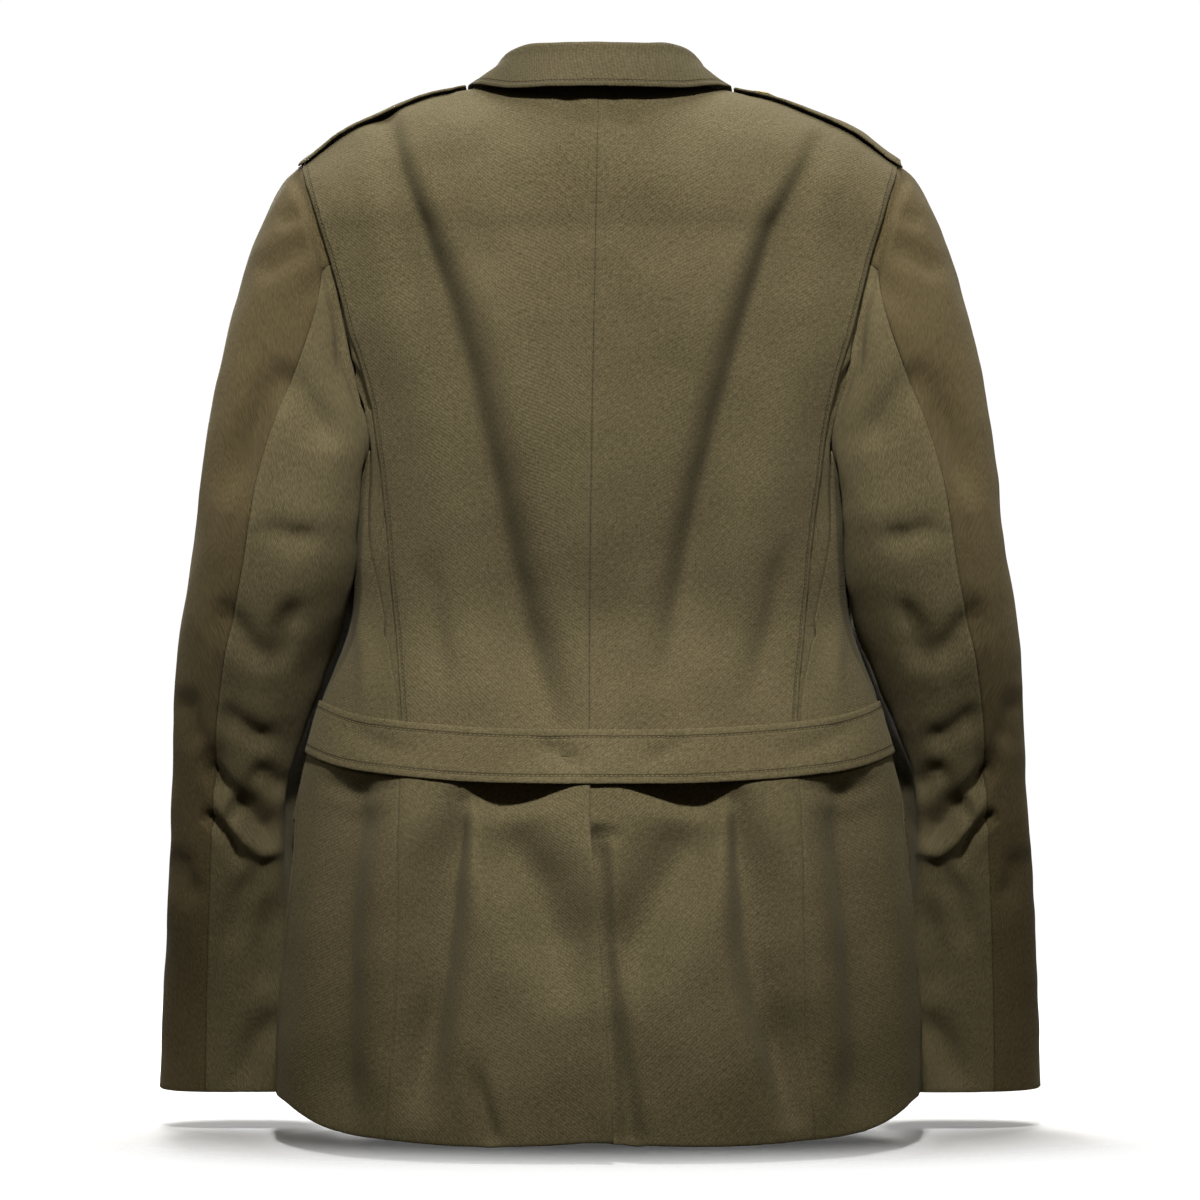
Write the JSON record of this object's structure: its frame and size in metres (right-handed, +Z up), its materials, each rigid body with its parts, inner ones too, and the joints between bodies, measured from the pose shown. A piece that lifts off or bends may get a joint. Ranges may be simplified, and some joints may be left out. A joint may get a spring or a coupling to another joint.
{
  "type": "jacket",
  "caption": "Men's military dress jacket in olive drab wool, filled out as if worn: pleated back, half belt, centre vent, turn-down collar, shoulder straps and two-piece sleeves",
  "frame": {"origin": "At the neck, in the middle between the shoulders, 92 pixels down the picture: the height at which the collar is sewn on. The mount neck_hold is here.", "axes": "+Z up. The front faces -Y and the back +Y. +X is the wearer's left."},
  "size_m": [0.653, 0.2718, 0.7737],
  "materials": {
    "wool": "matt wool twill",
    "wool_shade": "matt wool twill",
    "button": "polished brass"
  },
  "bodies": {
    "root": {"back_left": "wool", "back_right": "wool", "pleat_left": "wool_shade", "pleat_right": "wool_shade", "side_back_left": "wool_shade", "side_back_right": "wool_shade", "skirt_left": "wool", "skirt_right": "wool", "front_left": "wool", "front_right": "wool", "lapel_left": "wool", "lapel_right": "wool", "top_sleeve_left": "wool", "top_sleeve_right": "wool", "under_sleeve_left": "wool_shade", "under_sleeve_right": "wool_shade", "collar": "wool", "half_belt": "wool", "pocket_flap_left": "wool", "pocket_flap_right": "wool", "shoulder_strap_left": "wool", "shoulder_strap_right": "wool", "front_button_1": "button", "front_button_2": "button", "front_button_3": "button", "front_button_4": "button", "strap_button_left": "button", "strap_button_right": "button"}
  },
  "joints": []
}
